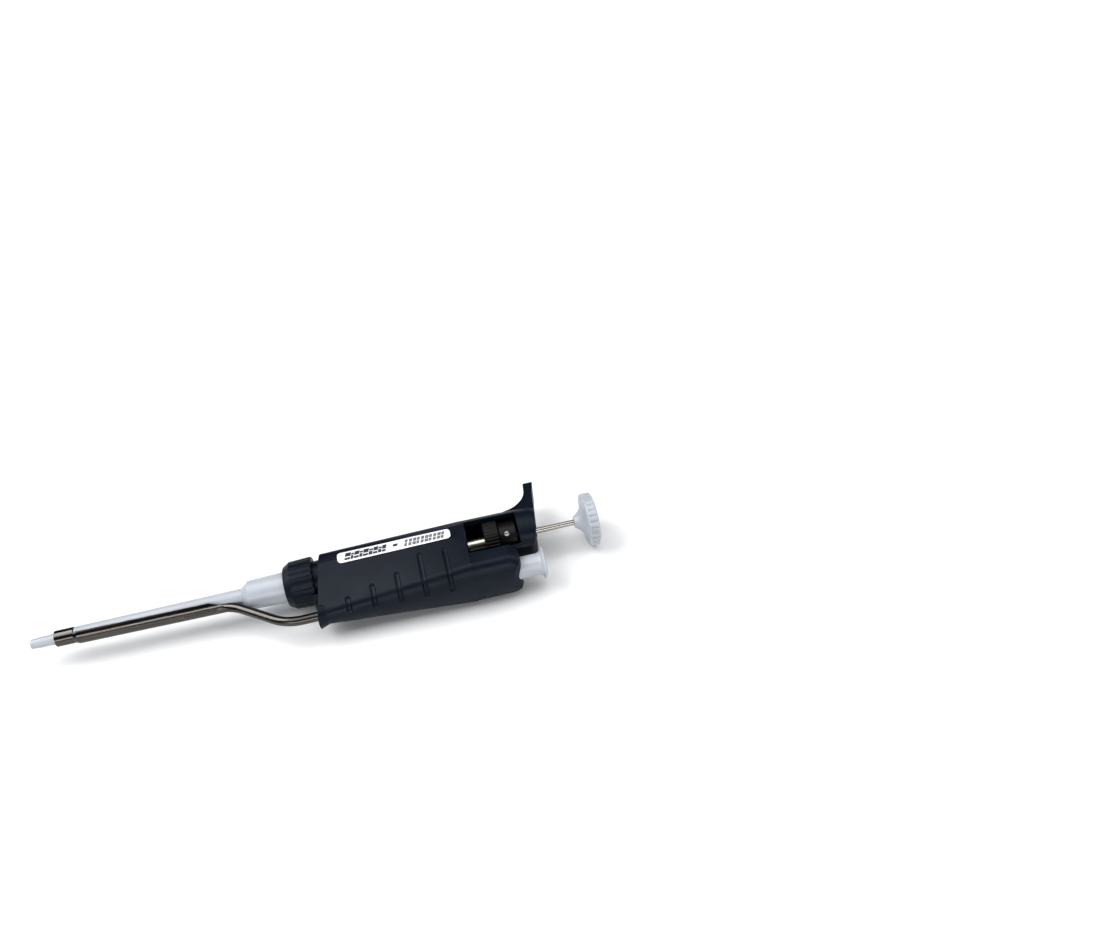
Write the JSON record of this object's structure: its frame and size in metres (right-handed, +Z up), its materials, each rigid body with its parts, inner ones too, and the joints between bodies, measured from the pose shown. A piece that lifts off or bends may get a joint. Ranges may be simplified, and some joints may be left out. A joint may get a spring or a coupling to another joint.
{
  "type": "adjustable micropipette",
  "caption": "Hand-held adjustable-volume air-displacement pipette with push-button plunger, thumbwheel, finger hook, steel tip-ejector arm and ejector button.",
  "frame": {"origin": "on the bench surface under the middle of the object's bounding box, with the pipette lying on its side", "axes": "+X along the piston axis from the nozzle to the push-button, +Y towards the finger hook, +Z up from the bench"},
  "size_m": [0.242, 0.0516, 0.0236],
  "materials": {
    "dark_plastic": "navy-black moulded plastic, satin grain",
    "wheel_plastic": "black knurled plastic",
    "pale_plastic": "pale blue-white moulded plastic",
    "stainless": "drawn stainless steel, bright",
    "nickel": "nickel plated",
    "spring_steel": "spring wire",
    "brass": "turned",
    "bush_plastic": "natural acetal",
    "drum_plastic": "white number drum",
    "seal_plastic": "low-friction seal polymer",
    "rubber": "elastomer ring",
    "clear_lens": "clear moulded window",
    "label": "white printed label"
  },
  "bodies": {
    "body": {"handle": "dark_plastic", "threaded_collar": "dark_plastic", "connecting_nut": "dark_plastic", "tip_holder": "pale_plastic", "piston_seal": "seal_plastic", "o_ring": "rubber", "seal_washer": "stainless", "screw_bush": "brass", "top_bush": "bush_plastic", "ejector_guide_bush": "bush_plastic", "display_lens": "clear_lens", "label_plate": "label", "piston_spring": "spring_steel", "blowout_spring": "spring_steel", "ejector_spring": "spring_steel"},
    "dial": {"thumbwheel": "wheel_plastic", "drive_sleeve": "wheel_plastic", "set_screw": "stainless", "micrometer_screw": "nickel", "units_drum": "drum_plastic"},
    "tens": {"tens_drum": "drum_plastic"},
    "hundreds": {"hundreds_drum": "drum_plastic"},
    "stop": {"stop_nut": "brass"},
    "plunger": {"piston": "stainless", "piston_cup": "bush_plastic"},
    "button": {"operating_rod": "stainless", "stop_collar": "stainless", "push_button": "pale_plastic", "push_button_cap": "pale_plastic"},
    "ejector": {"ejector_button": "pale_plastic", "ejector_rod": "nickel", "ejector_coupler": "nickel", "ejector_arm": "stainless"}
  },
  "joints": [
    {"name": "volume_dial", "type": "hinge", "parent": "body", "child": "dial", "pos_m": [0.07275, 0.00025, 0.0118], "axis": [1, 0, 0], "range_deg": [-901, 901]},
    {"name": "tens_turn", "type": "hinge", "parent": "body", "child": "tens", "pos_m": [0.048, 0.00025, 0.0118], "axis": [1, 0, 0], "range_deg": [-91, 91]},
    {"name": "hundreds_turn", "type": "hinge", "parent": "body", "child": "hundreds", "pos_m": [0.042, 0.00025, 0.0118], "axis": [1, 0, 0], "range_deg": [-10, 10]},
    {"name": "stop_travel", "type": "slide", "parent": "body", "child": "stop", "axis": [1, 0, 0], "range_m": [-0.002, 0.002]},
    {"name": "plunger_press", "type": "slide", "parent": "stop", "child": "plunger", "axis": [-1, 0, 0], "range_m": [0, 0.0125], "stiffness_N_per_m": 300, "springref_m": -0.01, "deforming": ["piston_spring", "blowout_spring"]},
    {"name": "button_turn", "type": "hinge", "parent": "plunger", "child": "button", "pos_m": [0.099, 0.00025, 0.0118], "axis": [1, 0, 0], "range_deg": [-901, 901]},
    {"name": "ejector_press", "type": "slide", "parent": "body", "child": "ejector", "axis": [-1, 0, 0], "range_m": [0, 0.007], "stiffness_N_per_m": 250, "springref_m": -0.01, "deforming": ["ejector_spring"]}
  ],
  "couplings": [
    {"joint": "volume_dial", "follows": "stop_travel", "rad_per_m": 7854},
    {"joint": "tens_turn", "follows": "stop_travel", "rad_per_m": 785.4},
    {"joint": "hundreds_turn", "follows": "stop_travel", "rad_per_m": 78.54},
    {"joint": "button_turn", "follows": "stop_travel", "rad_per_m": 7854}
  ]
}
